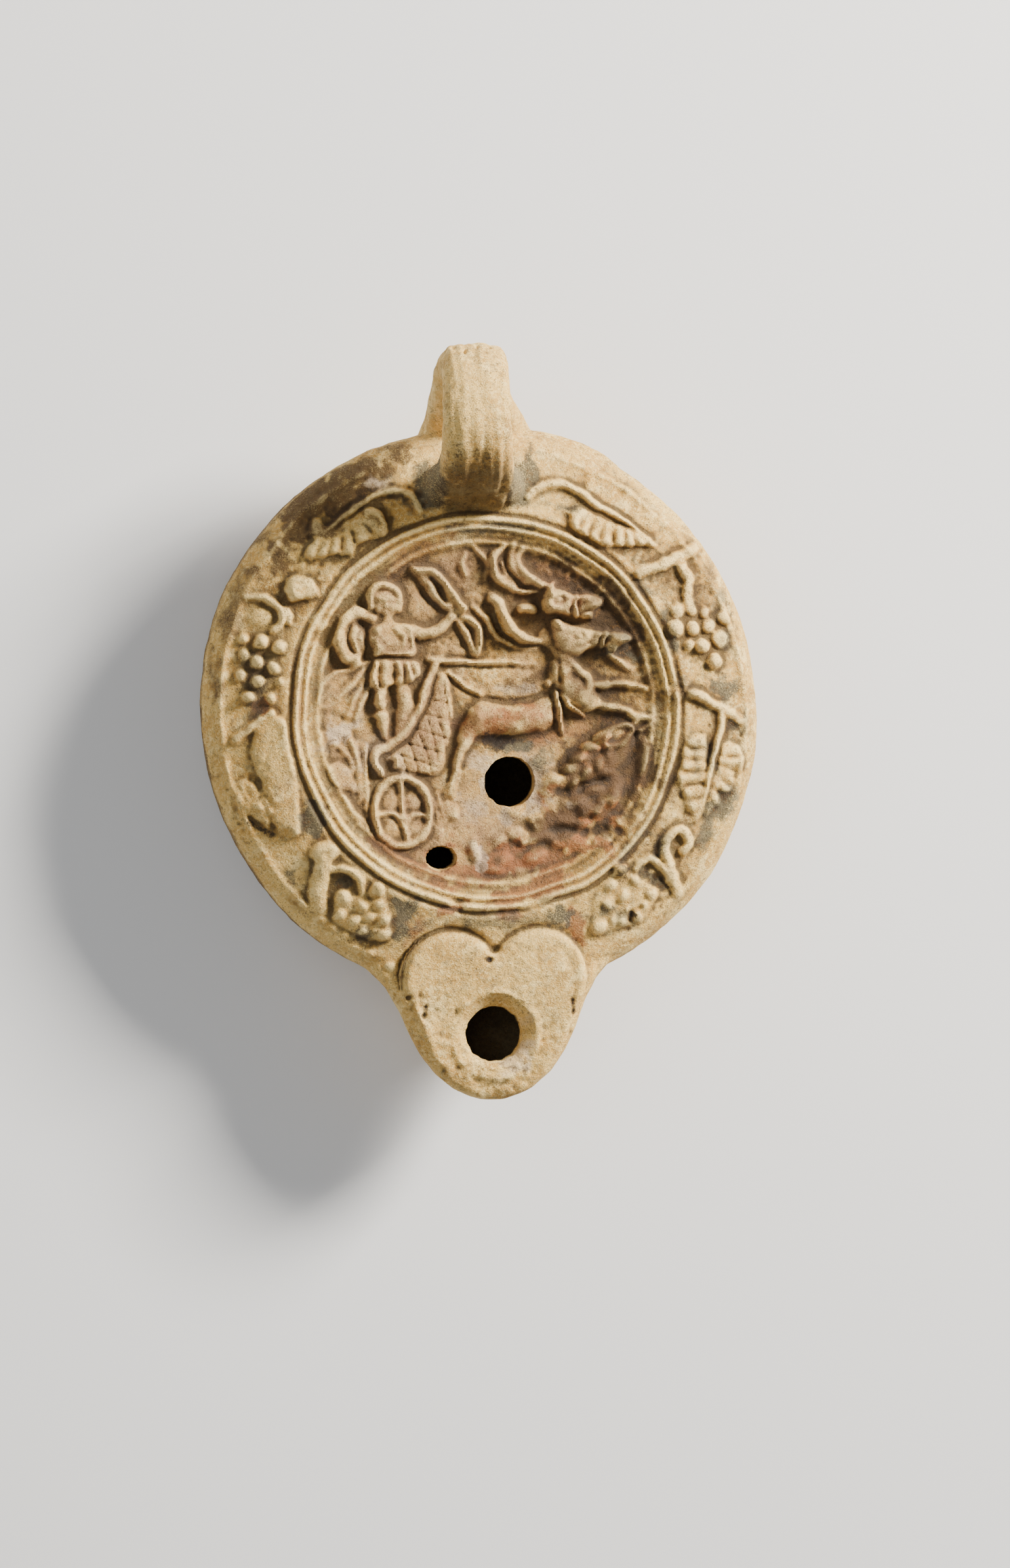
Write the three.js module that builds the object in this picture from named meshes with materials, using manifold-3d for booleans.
// A Roman oil lamp in moulded terracotta: a round, hollow body with a pictured disc, a shoulder of vine
// leaves and grapes, a heart-shaped nozzle and a pierced loop handle, fired as one piece of clay.
// Millimetres, +Z up. The origin is the centre of the flat base. The nozzle points along -Y, the handle
// along +Y.
import * as THREE from "three";
import { mergeVertices } from "three/addons/utils/BufferGeometryUtils.js";
import Module from "manifold-3d";

const wasm = await Module();
wasm.setup();

// ---- driving dimensions ----
const bodyRadius = 47.5; // widest part of the body
const bodyHeight = 29; // crest of the ring round the disc
const wall = 3.6; // clay thickness
const baseRadius = 21; // flat foot that the lamp stands on
const widestHeight = 19.5; // where the two mould halves meet
const discRadius = 27.5; // the pictured field inside the rings
const discFloor = 25; // its height at the centre
const warp = 0.0095; // the body came out of the kiln this much longer one way than the other
const warpAngle = 120; // direction it is longest in, in degrees from +X
const nozzleTip = 65.3; // nozzle tip, from the lamp's axis
const padTop = 28.2; // the heart-shaped top of the nozzle, where it meets the shoulder
const padSlope = 0.068; // its fall towards the tip
const handleWidth = 11;
const handleThick = 7.4;

// ---- helpers: closed geometries to solids and back ----
const solid = (geometry) => {
  const bare = geometry.index ? geometry.toNonIndexed() : geometry.clone();
  bare.deleteAttribute("normal");
  bare.deleteAttribute("uv");
  const merged = mergeVertices(bare, 1e-4);
  const closed = (triVerts) =>
    new wasm.Manifold(
      new wasm.Mesh({
        numProp: 3,
        vertProperties: merged.attributes.position.array,
        triVerts,
      }),
    );
  const faces = new Uint32Array(merged.index.array);
  const made = closed(faces);
  // A skin that was drawn inside out is turned round.
  return made.volume() < 0 ? closed(faces.reverse()) : made;
};

const geometryOf = (manifold) => {
  const mesh = manifold.getMesh();
  return new THREE.BufferGeometry()
    .setAttribute("position", new THREE.BufferAttribute(mesh.vertProperties, 3))
    .setIndex(new THREE.BufferAttribute(mesh.triVerts, 1));
};

// A closed skin through rings that all have the same number of points, with both ends capped.
// The last cap rises by peak to a point at its middle.
const loft = (rings, peak = 0) => {
  const sides = rings[0].length;
  const points = rings.flat();
  const faces = [];
  for (let i = 0; i + 1 < rings.length; i++) {
    for (let j = 0; j < sides; j++) {
      const a = i * sides + j;
      const b = i * sides + ((j + 1) % sides);
      faces.push(a, b, b + sides, a, b + sides, a + sides);
    }
  }
  for (const [ring, flip] of [
    [0, true],
    [rings.length - 1, false],
  ]) {
    const centre = points.length;
    const middle = rings[ring].reduce((sum, p) => sum.add(p), new THREE.Vector3()).divideScalar(sides);
    points.push(middle.add(new THREE.Vector3(0, 0, flip ? 0 : peak)));
    for (let j = 0; j < sides; j++) {
      const a = ring * sides + j;
      const b = ring * sides + ((j + 1) % sides);
      faces.push(centre, flip ? b : a, flip ? a : b);
    }
  }
  return new THREE.BufferGeometry().setFromPoints(points).setIndex(faces);
};

// Turns a profile of [radius, height] pairs, from the bottom of the axis to its top, about Z.
const lathe = (profile, segments) => {
  const points = profile.map(([r, z]) => new THREE.Vector2(r, z));
  return new THREE.LatheGeometry(points, segments).rotateX(Math.PI / 2);
};

// The kiln's slight oval: longer along warpAngle, shorter across it.
const ovalMatrix = new THREE.Matrix4()
  .makeRotationZ(THREE.MathUtils.degToRad(warpAngle))
  .multiply(new THREE.Matrix4().makeScale(1 + warp, 1 - warp, 1))
  .multiply(new THREE.Matrix4().makeRotationZ(THREE.MathUtils.degToRad(-warpAngle)));
const roundMatrix = ovalMatrix.clone().invert();

// ---- body ----
const outerProfile = [
  [0, 0],
  [baseRadius, 0],
  [baseRadius + 1.2, 1.2],
  [30.5, 4.4],
  [38.5, 8.8],
  [44, 13.8],
  [46.8, 17.4],
  [bodyRadius, widestHeight],
  [47.2, 21.6],
  [46, 23.6],
  [44.7, 24.9],
  [43.3, 25.2],
  [38, 27.2],
  [33.6, 28.3],
  [32.9, 27.8],
  [32.2, bodyHeight],
  [31.4, 28],
  [30.7, 28.6],
  [29.2, 27.6],
  [discRadius, 26.3],
  [18, discFloor + 0.3],
  [0, discFloor],
];
const innerProfile = [
  [0, wall + 0.6],
  [baseRadius - 2, wall + 0.6],
  [29, 7.6],
  [36.5, 11.8],
  [41.8, 16.2],
  [bodyRadius - wall, widestHeight],
  [42.8, 21.4],
  [38, 23.4],
  [30, 23.8],
  [24, discFloor - 3.2],
  [0, discFloor - 3.4],
];
const bodyOuter = solid(lathe(outerProfile, 40).applyMatrix4(ovalMatrix));
const bodyInner = solid(lathe(innerProfile, 20).applyMatrix4(ovalMatrix));

// Height of the moulded top at (x, y), without its relief.
const upperProfile = outerProfile.slice(7).reverse();
const surfaceAt = (x, y) => {
  const r = new THREE.Vector3(x, y, 0).applyMatrix4(roundMatrix).length();
  const i = Math.max(
    1,
    upperProfile.findIndex(([radius]) => radius >= r),
  );
  const [r0, z0] = upperProfile[i - 1];
  const [r1, z1] = upperProfile[i];
  return THREE.MathUtils.mapLinear(r, r0, r1, z0, z1);
};

// ---- nozzle ----
const nozzleX = 0.15;
const padHeight = (y) => padTop + padSlope * (y + 37);
// Half-width, underside, top and the fall from the top to the widest line at each station along -Y.
const nozzleStations = [
  { y: -33, half: 22.5, low: 5, top: 21.5, drop: 4 },
  { y: -39, half: 22.6, low: 7, top: 23.2, drop: 4 },
  { y: -42.5, half: 20.9, low: 8.4, top: 24.6, drop: 4 },
  { y: -45.5, half: 18, low: 9.6, top: 26, drop: 4 },
  { y: -49, half: 15.9, low: 10.8, top: 26.5, drop: 4 },
  { y: -53, half: 14.4, low: 12, top: 26.4, drop: 4 },
  { y: -57, half: 12.5, low: 13.2, top: 26.1, drop: 4 },
  { y: -60.5, half: 10.1, low: 14.4, top: 25.8, drop: 3.9 },
  { y: -63.2, half: 7.1, low: 15.6, top: 25.2, drop: 3.6 },
  { y: -64.6, half: 4.3, low: 17, top: 24.4, drop: 3.2 },
  { y: -nozzleTip, half: 2, low: 18.6, top: 23, drop: 2.2 },
];
// A flat-topped, round-bottomed section across the nozzle.
const nozzleRing = ({ y, half, low, top, drop }) => {
  const edge = Math.min(2.2, half * 0.55);
  const belt = top - drop;
  const ring = [
    [half - edge, top],
    [-half + edge, top],
    [-half + edge * 0.28, top - drop * 0.4],
    [-half, belt],
  ];
  for (const angle of [30, 60, 90, 120, 150]) {
    const a = THREE.MathUtils.degToRad(angle);
    ring.push([-half * Math.cos(a), belt - (belt - low) * Math.sin(a)]);
  }
  ring.push([half, belt], [half - edge * 0.28, top - drop * 0.4]);
  return ring.map(([x, z]) => new THREE.Vector3(nozzleX - 0.2 + x, y, z));
};
const nozzleOuter = solid(loft(nozzleStations.map(nozzleRing)));

// The empty channel from the reservoir to the wick hole.
const channelStations = [
  { y: -30, wide: 15, low: 8, high: 22.5 },
  { y: -38, wide: 15.5, low: 10, high: 23 },
  { y: -44, wide: 13.8, low: 12, high: 23.2 },
  { y: -50, wide: 11.4, low: 14, high: 23 },
  { y: -56, wide: 8.4, low: 16, high: 22.7 },
  { y: -60, wide: 5, low: 17.6, high: 22.2 },
];
const channelRing = ({ y, wide, low, high }) =>
  Array.from({ length: 12 }, (_, i) => {
    const a = (i / 12) * 2 * Math.PI;
    const x = wide * Math.cos(a);
    return new THREE.Vector3(nozzleX + x, y, (high + low) / 2 + ((high - low) / 2) * Math.sin(a));
  });
const nozzleInner = solid(loft(channelStations.map(channelRing)));

// ---- relief tools ----
// A low ridge along a bend, sunk into the surface: half widths and rises at its start and end.
const ridge = ({ from, to, bend = 0, half, thin = half, rise, steps = bend ? 3 : 2 }) => {
  const start = new THREE.Vector2(...from);
  const end = new THREE.Vector2(...to);
  const side = end.clone().sub(start).rotateAround(new THREE.Vector2(), Math.PI / 2).multiplyScalar(bend);
  const middle = start.clone().add(end).multiplyScalar(0.5).addScaledVector(side, 2);
  const line = new THREE.QuadraticBezierCurve(start, middle, end);
  const rings = [];
  for (let step = 0; step <= steps; step++) {
    const t = step / steps;
    const p = line.getPoint(t);
    const along = line.getTangent(t);
    const width = THREE.MathUtils.lerp(half, thin, t);
    const foot = [
      [-1.15, -0.7],
      [1.15, -0.7],
    ];
    // a narrow ridge has a sharp back, a broad one a flat back
    const section = half < 0.85 ? [...foot, [0, rise * 1.1]] : [...foot, [0.5, rise], [-0.5, rise]];
    rings.push(
      section.map(([s, h]) => {
        const x = p.x - along.y * width * s;
        const y = p.y + along.x * width * s;
        return new THREE.Vector3(x, y, surfaceAt(x, y) + h);
      }),
    );
  }
  return loft(rings);
};

// A rounded lump: an ellipse on plan, turned by angle degrees, that stands rise above the surface.
const lump = ({ at: [x, y], long, short = long, rise, angle = 0, sides = 7 }) => {
  const level = (scale, height) =>
    Array.from({ length: sides }, (_, i) => {
      const a = (i / sides) * 2 * Math.PI;
      const p = new THREE.Vector2(long * Math.cos(a), short * Math.sin(a)).multiplyScalar(scale);
      p.rotateAround(new THREE.Vector2(), THREE.MathUtils.degToRad(angle));
      return new THREE.Vector3(x + p.x, y + p.y, surfaceAt(x, y) + height);
    });
  return loft([level(1.1, -0.7), level(0.66, rise * 0.78)], rise * 0.22);
};

// A plate with the given outline, which follows the surface at height rise. Every other point of its rim is
// raised by fold, which creases it from the middle outwards.
const plate = (outline, rise, fold = 0) => {
  const middle = outline
    .reduce((sum, [x, y]) => sum.add(new THREE.Vector2(x, y)), new THREE.Vector2())
    .divideScalar(outline.length);
  const level = (scale, height, crease) =>
    outline.map(([x, y], i) => {
      const px = THREE.MathUtils.lerp(middle.x, x, scale);
      const py = THREE.MathUtils.lerp(middle.y, y, scale);
      return new THREE.Vector3(px, py, surfaceAt(px, py) + height + (i % 2) * crease);
    });
  return loft([level(1, -0.7, 0), level(0.88, rise, fold)]);
};

// A bunch of grapes: staggered rows from its broad shoulder to its tip.
const bunch = ({ from, to, rows, berry }) => {
  const start = new THREE.Vector2(...from);
  const axis = new THREE.Vector2(...to).sub(start);
  const across = axis.clone().normalize().rotateAround(new THREE.Vector2(), Math.PI / 2);
  return rows.flatMap((count, row) =>
    Array.from({ length: count }, (_, i) => {
      const p = start
        .clone()
        .addScaledVector(axis, row / (rows.length - 1))
        .addScaledVector(across, (i - (count - 1) / 2) * berry * 2.15);
      return lump({ at: [p.x, p.y], long: berry, rise: berry * 0.75, sides: 5 });
    }),
  );
};

// A vine leaf: a blade with a toothed, creased edge, and its midrib.
const leaf = ({ from, to, width, rise = 0.5, fold = 0.7 }) => {
  const start = new THREE.Vector2(...from);
  const axis = new THREE.Vector2(...to).sub(start);
  const across = axis.clone().normalize().rotateAround(new THREE.Vector2(), Math.PI / 2);
  const spot = (t, s) => start.clone().addScaledVector(axis, t).addScaledVector(across, s).toArray();
  const breadth = (t) => (width / 2) * Math.pow(Math.sin(Math.PI * Math.pow(t, 0.75)), 0.6);
  const edge = (side) =>
    Array.from({ length: 9 }, (_, i) => {
      const t = 0.03 + i * 0.115;
      return spot(t, side * breadth(t) * (i % 2 ? 1.06 : 0.92));
    });
  return [
    plate([...edge(-1), spot(1.02, 0), ...edge(1).reverse()], rise, fold),
    ridge({ from: spot(0, 0), to: spot(0.97, 0), half: 0.8, thin: 0.5, rise: rise + 0.7 }),
  ];
};

const parts = [];
const add = (...geometries) => parts.push(...geometries.flat().map(solid));

// ---- shoulder: vine wreath ----
add(
  // left of the handle
  leaf({ from: [-15.6, 35.6], to: [-29.4, 28.4], width: 9.4 }),
  ridge({ from: [-9.8, 34.6], to: [-16.4, 36.4], bend: -0.28, half: 0.8, rise: 0.7 }),
  lump({ at: [-31, 21.8], long: 2.4, rise: 0.9 }),
  lump({ at: [-28.4, 21.5], long: 1.6, short: 1, rise: 0.7, angle: -15 }),
  ridge({ from: [-39, 19.6], to: [-34.4, 14.6], bend: 0.42, half: 0.9, thin: 0.7, rise: 0.8, steps: 4 }),
  bunch({ from: [-37.4, 13.4], to: [-38.4, 4.4], rows: [3, 2, 3, 2], berry: 1.35 }),
  ridge({ from: [-42, -3.2], to: [-36, 2.2], half: 0.9, rise: 0.8 }),
  leaf({ from: [-39.6, -0.8], to: [-35.2, -19], width: 9.4, fold: 0 }),
  // left of the nozzle
  lump({ at: [-28, -21.9], long: 2.2, short: 1.9, rise: 1.1 }),
  ridge({ from: [-28, -22.6], to: [-29.4, -30], half: 1.3, rise: 0.9 }),
  ridge({ from: [-27.6, -25.8], to: [-22.4, -29.2], bend: 0.24, half: 0.9, rise: 0.9, steps: 4 }),
  bunch({ from: [-23.8, -30.6], to: [-19.4, -35.6], rows: [2, 3, 2], berry: 1.6 }),
  lump({ at: [-19, -29], long: 1.8, rise: 1.2, sides: 5 }),
  lump({ at: [-17, -42.2], long: 1.3, short: 0.8, rise: 0.8, angle: -20 }),
  // right of the handle
  leaf({ from: [15.8, 34.4], to: [29.8, 27.2], width: 9 }),
  ridge({ from: [9.6, 34], to: [19, 34.8], bend: 0.36, half: 0.8, rise: 0.9, steps: 4 }),
  ridge({ from: [26.6, 23.9], to: [35.8, 25.2], half: 1.1, rise: 0.9 }),
  ridge({ from: [34.8, 24], to: [35.6, 17], half: 1.1, rise: 0.9 }),
  bunch({ from: [34.2, 14.8], to: [39.4, 7.8], rows: [2, 3, 2, 1], berry: 1.85 }),
  ridge({ from: [34.2, 2.3], to: [43.4, -2], half: 1, rise: 0.9 }),
  ridge({ from: [40.2, -0.4], to: [38.6, -7], half: 1, rise: 1 }),
  leaf({ from: [39, -4], to: [35, -19.8], width: 10 }),
  // right of the nozzle
  ridge({ from: [34, -31], to: [28.9, -22.8], bend: -0.06, half: 1.1, rise: 0.9 }),
  ridge({ from: [28.9, -23.4], to: [32.8, -23.6], bend: 0.62, half: 1.1, thin: 0.8, rise: 1, steps: 5 }),
  ridge({ from: [23.4, -27.2], to: [31.4, -31.8], bend: 0.24, half: 0.9, rise: 0.9, steps: 4 }),
  bunch({ from: [23.4, -29.2], to: [19.4, -36.4], rows: [3, 3, 2], berry: 1.7 }),
  lump({ at: [25.4, -34], long: 1.8, rise: 1.2, sides: 5 }),
);

// ---- disc: a charioteer driving to the right ----
add(
  lump({ at: [-16.8, 20], long: 2.7, short: 2.9, rise: 1.9, sides: 9 }),
  lump({ at: [-15.6, 14.2], long: 3.6, short: 2.2, rise: 1.5, sides: 9 }),
  lump({ at: [-15.8, 11.6], long: 2.8, short: 2.4, rise: 1.5, sides: 8 }),
  lump({ at: [-15.4, 7.4], long: 4, short: 2.5, rise: 1.4, sides: 9 }),
  lump({ at: [-16.8, 3.2], long: 2, short: 2.2, rise: 1.3 }),
  lump({ at: [-16.6, -0.6], long: 1.3, short: 2.8, rise: 1.1 }),
  // reaching arm, belt, billowing cloak and its tail
  ridge({ from: [-12.8, 14], to: [-4.4, 16.4], bend: -0.12, half: 1.2, thin: 0.8, rise: 1.2, steps: 4 }),
  ridge({ from: [-19.6, 10.4], to: [-11.4, 10.7], half: 0.5, rise: 1.7, steps: 2 }),
  ridge({ from: [-19, 16.2], to: [-22.6, 10.2], bend: -0.62, half: 1.1, rise: 1.1, steps: 5 }),
  ridge({ from: [-19.4, 9.6], to: [-28.2, 3.4], bend: 0.1, half: 0.6, rise: 0.8 }),
  ridge({ from: [-27.6, 2.6], to: [-24.4, 0], half: 0.7, rise: 0.8, steps: 2 }),
  // the two loops in the raised hand
  ridge({ from: [-12.2, 24.6], to: [-4.4, 16.8], bend: -0.06, half: 0.7, rise: 0.9 }),
  ridge({ from: [-12, 24.8], to: [-4, 17], bend: 0.24, half: 0.8, rise: 1, steps: 5 }),
  ridge({ from: [-4.2, 17], to: [-1.2, 9.6], bend: -0.08, half: 0.7, rise: 0.9 }),
  ridge({ from: [-4, 17.2], to: [-1, 9.6], bend: 0.22, half: 0.7, rise: 0.9, steps: 4 }),
);

// The chariot: rail, car, wheel, and the tuft of growth behind it.
const car = { top: [-7.6, 7], bottom: [-12.6, -9.6], lean: 5 };
const carOutline = [-1, 1].flatMap((side) =>
  [0, 0.5, 1].map((t) => {
    const u = side < 0 ? t : 1 - t;
    const reach = 1.2 + car.lean * Math.pow(u, side < 0 ? 1.6 : 0.5);
    return [
      THREE.MathUtils.lerp(car.top[0], car.bottom[0], u) + side * reach,
      THREE.MathUtils.lerp(car.top[1], car.bottom[1], u) + (side < 0 ? u * 2.2 : 0),
    ];
  }),
);
const wheel = { at: [-14.3, -16.2], wide: 4.9, high: 5.6 };
const rimPoint = (turn, scale = 1) => [
  wheel.at[0] + wheel.wide * scale * Math.cos(turn * 2 * Math.PI),
  wheel.at[1] + wheel.high * scale * Math.sin(turn * 2 * Math.PI),
];
add(
  plate(carOutline, 0.45),
  ridge({ from: [-7.4, 8.7], to: [-18.6, -6], bend: 0.1, half: 0.8, rise: 1, steps: 5 }),
  ridge({ from: [-18.6, -5.6], to: [-18.2, -9], half: 0.6, rise: 0.8, steps: 1 }),
  ridge({ from: [-3.2, -4.2], to: [-6.2, -11.6], bend: -0.06, half: 0.7, thin: 0.5, rise: 0.8 }),
  ridge({ from: [-11.2, -12.2], to: [-8.2, -18.6], half: 0.5, rise: 0.6, steps: 2 }),
  ridge({ from: [-21, -5.4], to: [-21.6, -12.4], half: 0.5, rise: 0.6, steps: 2 }),
);
for (let i = 0; i < 4; i++) {
  const turn = i / 4;
  add(
    ridge({ from: rimPoint(turn), to: rimPoint(turn + 0.252), bend: -0.2, half: 0.55, rise: 0.8 }),
    ridge({ from: wheel.at, to: rimPoint(turn, 0.92), half: 0.5, rise: 0.6, steps: 1 }),
  );
}

// The team of horses: heads, necks, one body, harness, reins, manes and forelegs.
add(
  lump({ at: [3.6, -1.6], long: 7.4, short: 3.3, rise: 1.6, sides: 9 }),
  lump({ at: [15, 2.4], long: 3.6, short: 3, rise: 1.7, angle: 30, sides: 8 }),
  ridge({ from: [10.2, 18.8], to: [19.8, 17.9], half: 2, thin: 1.4, rise: 1.6, steps: 2 }),
  ridge({ from: [12, 12.8], to: [23.6, 11], half: 2.1, thin: 1.3, rise: 1.6, steps: 2 }),
  ridge({ from: [12.4, 12.4], to: [14.6, 4], bend: -0.06, half: 1.6, thin: 2.4, rise: 1.2 }),
  ridge({ from: [2.2, 18.6], to: [11.6, 11.3], bend: -0.22, half: 0.9, rise: 1.1, steps: 4 }),
  ridge({ from: [-2, 16.8], to: [11, 9.9], bend: -0.1, half: 0.7, rise: 0.8, steps: 4 }),
  ridge({ from: [-7.6, 8.8], to: [9, 7.9], half: 0.4, rise: 0.6 }),
  ridge({ from: [-5.6, 6.9], to: [2, 2.2], half: 0.4, rise: 0.6, steps: 2 }),
  ridge({ from: [11.2, 3], to: [13, -3.8], half: 0.5, rise: 1.7, steps: 2 }),
  ridge({ from: [15.6, 8.6], to: [24.8, 6.8], bend: 0.1, half: 0.9, thin: 0.6, rise: 0.9 }),
  ridge({ from: [17, 3.6], to: [27, 3], bend: 0.05, half: 1.1, thin: 0.6, rise: 0.9 }),
  ridge({ from: [16.6, 0], to: [27.4, -2.8], bend: 0.08, half: 1, thin: 0.6, rise: 0.8 }),
);
const manes = { count: 4, root: [9.8, 20.2], rootStep: [-2.1, -0.3], tip: [6, 26], tipStep: [-3, -0.5] };
for (let i = 0; i < manes.count; i++) {
  const from = manes.root.map((value, axis) => value + i * manes.rootStep[axis]);
  const to = manes.tip.map((value, axis) => value + i * manes.tipStep[axis]);
  add(ridge({ from, to, bend: -0.2, half: 0.9, thin: 0.7, rise: 1 }));
}

// What is left of the worn figures below the team, along an arc inside the ring.
const wornArc = { radius: 23.6, stagger: 2.4, from: -8, to: -104, count: 6 };
for (let i = 0; i < wornArc.count; i++) {
  const a = THREE.MathUtils.lerp(wornArc.from, wornArc.to, i / (wornArc.count - 1));
  const turn = THREE.MathUtils.degToRad(a);
  const r = wornArc.radius - (i % 3) * wornArc.stagger;
  const at = [r * Math.cos(turn), r * Math.sin(turn)];
  add(lump({ at, long: 2.6, short: 1.5, rise: 0.9, angle: a + 60 + (i % 2) * 50 }));
}
add(
  ridge({ from: [22.6, -4.4], to: [12.4, -12], half: 1.6, rise: 0.9 }),
  lump({ at: [-2.4, -22.8], long: 1.1, short: 2.2, rise: 0.9 }),
);
const relief = wasm.Manifold.union(parts);

// ---- the heart-shaped pad on the nozzle, and the groove round it ----
const lobes = { radius: 7.3, apart: 7.35, y: -44.4 };
const padTip = { y: -60, half: 7, shoulderY: -54, shoulderHalf: 10.6 };
const padOutline = (grow) => {
  const outline = [];
  const r = lobes.radius + grow;
  for (let i = 0; i <= 9; i++) {
    const a = THREE.MathUtils.degToRad(200 - i * 18.9);
    outline.push([nozzleX - lobes.apart + r * Math.cos(a), lobes.y + r * Math.sin(a)]);
  }
  const right = outline.map(([x, y]) => [2 * nozzleX - x, y]).reverse();
  const tip = [
    [nozzleX + padTip.shoulderHalf, padTip.shoulderY],
    [nozzleX + padTip.half, padTip.y],
    [nozzleX - padTip.half, padTip.y],
    [nozzleX - padTip.shoulderHalf, padTip.shoulderY],
  ];
  return [...outline, ...right, ...tip];
};
const padRings = [
  [1.1, -3.2],
  [1.1, -0.9],
  [0, 0],
].map(([grow, height]) => padOutline(grow).map(([x, y]) => new THREE.Vector3(x, y, padHeight(y) + height)));
const pad = solid(loft(padRings));
const grooveArc = (side) => {
  const rings = [];
  for (let i = 0; i <= 9; i++) {
    const a = THREE.MathUtils.degToRad(188 - i * 16.2);
    const centre = new THREE.Vector3(nozzleX - side * lobes.apart, lobes.y, 0);
    const section = [
      [lobes.radius + 0.3, -1.1],
      [lobes.radius + 1.5, -1.1],
      [lobes.radius + 2.4, 1.6],
      [lobes.radius - 0.3, 1.6],
    ];
    rings.push(
      section.map(([r, h]) => {
        const p = centre.clone().add(new THREE.Vector3(side * Math.cos(a) * r, Math.sin(a) * r, 0));
        return p.setZ(padHeight(p.y) + h);
      }),
    );
  }
  return loft(rings);
};

// ---- holes ----
const roundHole = ([x, y], lowRadius, highRadius, low, high, sides) =>
  solid(
    new THREE.CylinderGeometry(highRadius, lowRadius, high - low, sides)
      .rotateX(Math.PI / 2)
      .translate(x, y, (high + low) / 2),
  );
const fillingHole = roundHole([3.8, -11.7], 4.2, 4.2, 18, 30, 20);
const ventHole = roundHole([-8, -24.2], 1.7, 2.1, 18, 30, 12);
const wickHole = roundHole([0.1, -54], 4.9, 5.3, 17, padTop, 20);
const wickCone = roundHole([0.3, -54.7], 5.2, 7.6, 24.6, padTop + 0.4, 22);

// ---- handle ----
const handleLoop = { y: 48.7, z: 34.6, radius: 8.6 };
const handlePath = new THREE.CatmullRomCurve3([
  new THREE.Vector3(-1.2, 36.6, 24),
  new THREE.Vector3(-1.4, 38.4, 30),
  ...[165, 130, 95, 55, 20, -15, -50].map((angle) => {
    const a = THREE.MathUtils.degToRad(angle);
    const z = handleLoop.z + (handleLoop.radius + 0.7 * Math.sin(a)) * Math.sin(a);
    return new THREE.Vector3(-1.4 - (z - 30) * 0.06, handleLoop.y + handleLoop.radius * Math.cos(a), z);
  }),
  new THREE.Vector3(0.4, 47, 18.5),
  new THREE.Vector3(0.6, 42, 15),
]);
const handleSteps = 16;
const handleRing = (step) => {
  const t = step / handleSteps;
  const centre = handlePath.getPointAt(t);
  const along = handlePath.getTangentAt(t);
  const across = new THREE.Vector3(1, 0, 0);
  const out = new THREE.Vector3().crossVectors(across, along);
  // it widens into the shoulder in front, and more into the body behind
  const root = Math.abs(2 * t - 1);
  const half = handleWidth / 2 + (t < 0.5 ? 3 * Math.pow(root, 4) : 6 * Math.pow(root, 2.2));
  const thick = handleThick / 2 + 0.8 * Math.pow(root, 4);
  return Array.from({ length: 12 }, (_, i) => {
    const a = (-i / 12) * 2 * Math.PI;
    const c = Math.cos(a);
    const s = Math.sin(a);
    return centre
      .clone()
      .addScaledVector(across, half * Math.sign(c) * Math.pow(Math.abs(c), 0.6))
      .addScaledVector(out, thick * Math.sign(s) * Math.pow(Math.abs(s), 0.6));
  });
};
const handle = solid(loft(Array.from({ length: handleSteps + 1 }, (_, i) => handleRing(i))));

const handleRoot = solid(
  new THREE.SphereGeometry(1, 22, 6).rotateX(Math.PI / 2).scale(26, 10.9, 6).translate(0.4, 36.8, 19.2),
);

const skin = wasm.Manifold.union([bodyOuter, nozzleOuter, relief])
  .subtract(solid(grooveArc(1)).add(solid(grooveArc(-1))))
  .add(pad)
  .add(handleRoot)
  .add(handle);
const hollow = wasm.Manifold.union([bodyInner, nozzleInner, fillingHole, ventHole, wickHole, wickCone]);

const group = new THREE.Group();
const clay = new THREE.MeshStandardMaterial({ color: 0xc9a878, roughness: 0.85, metalness: 0 });
const lamp = new THREE.Mesh(geometryOf(skin.subtract(hollow)), clay);
lamp.name = "oil_lamp";
group.add(lamp);
export default group;
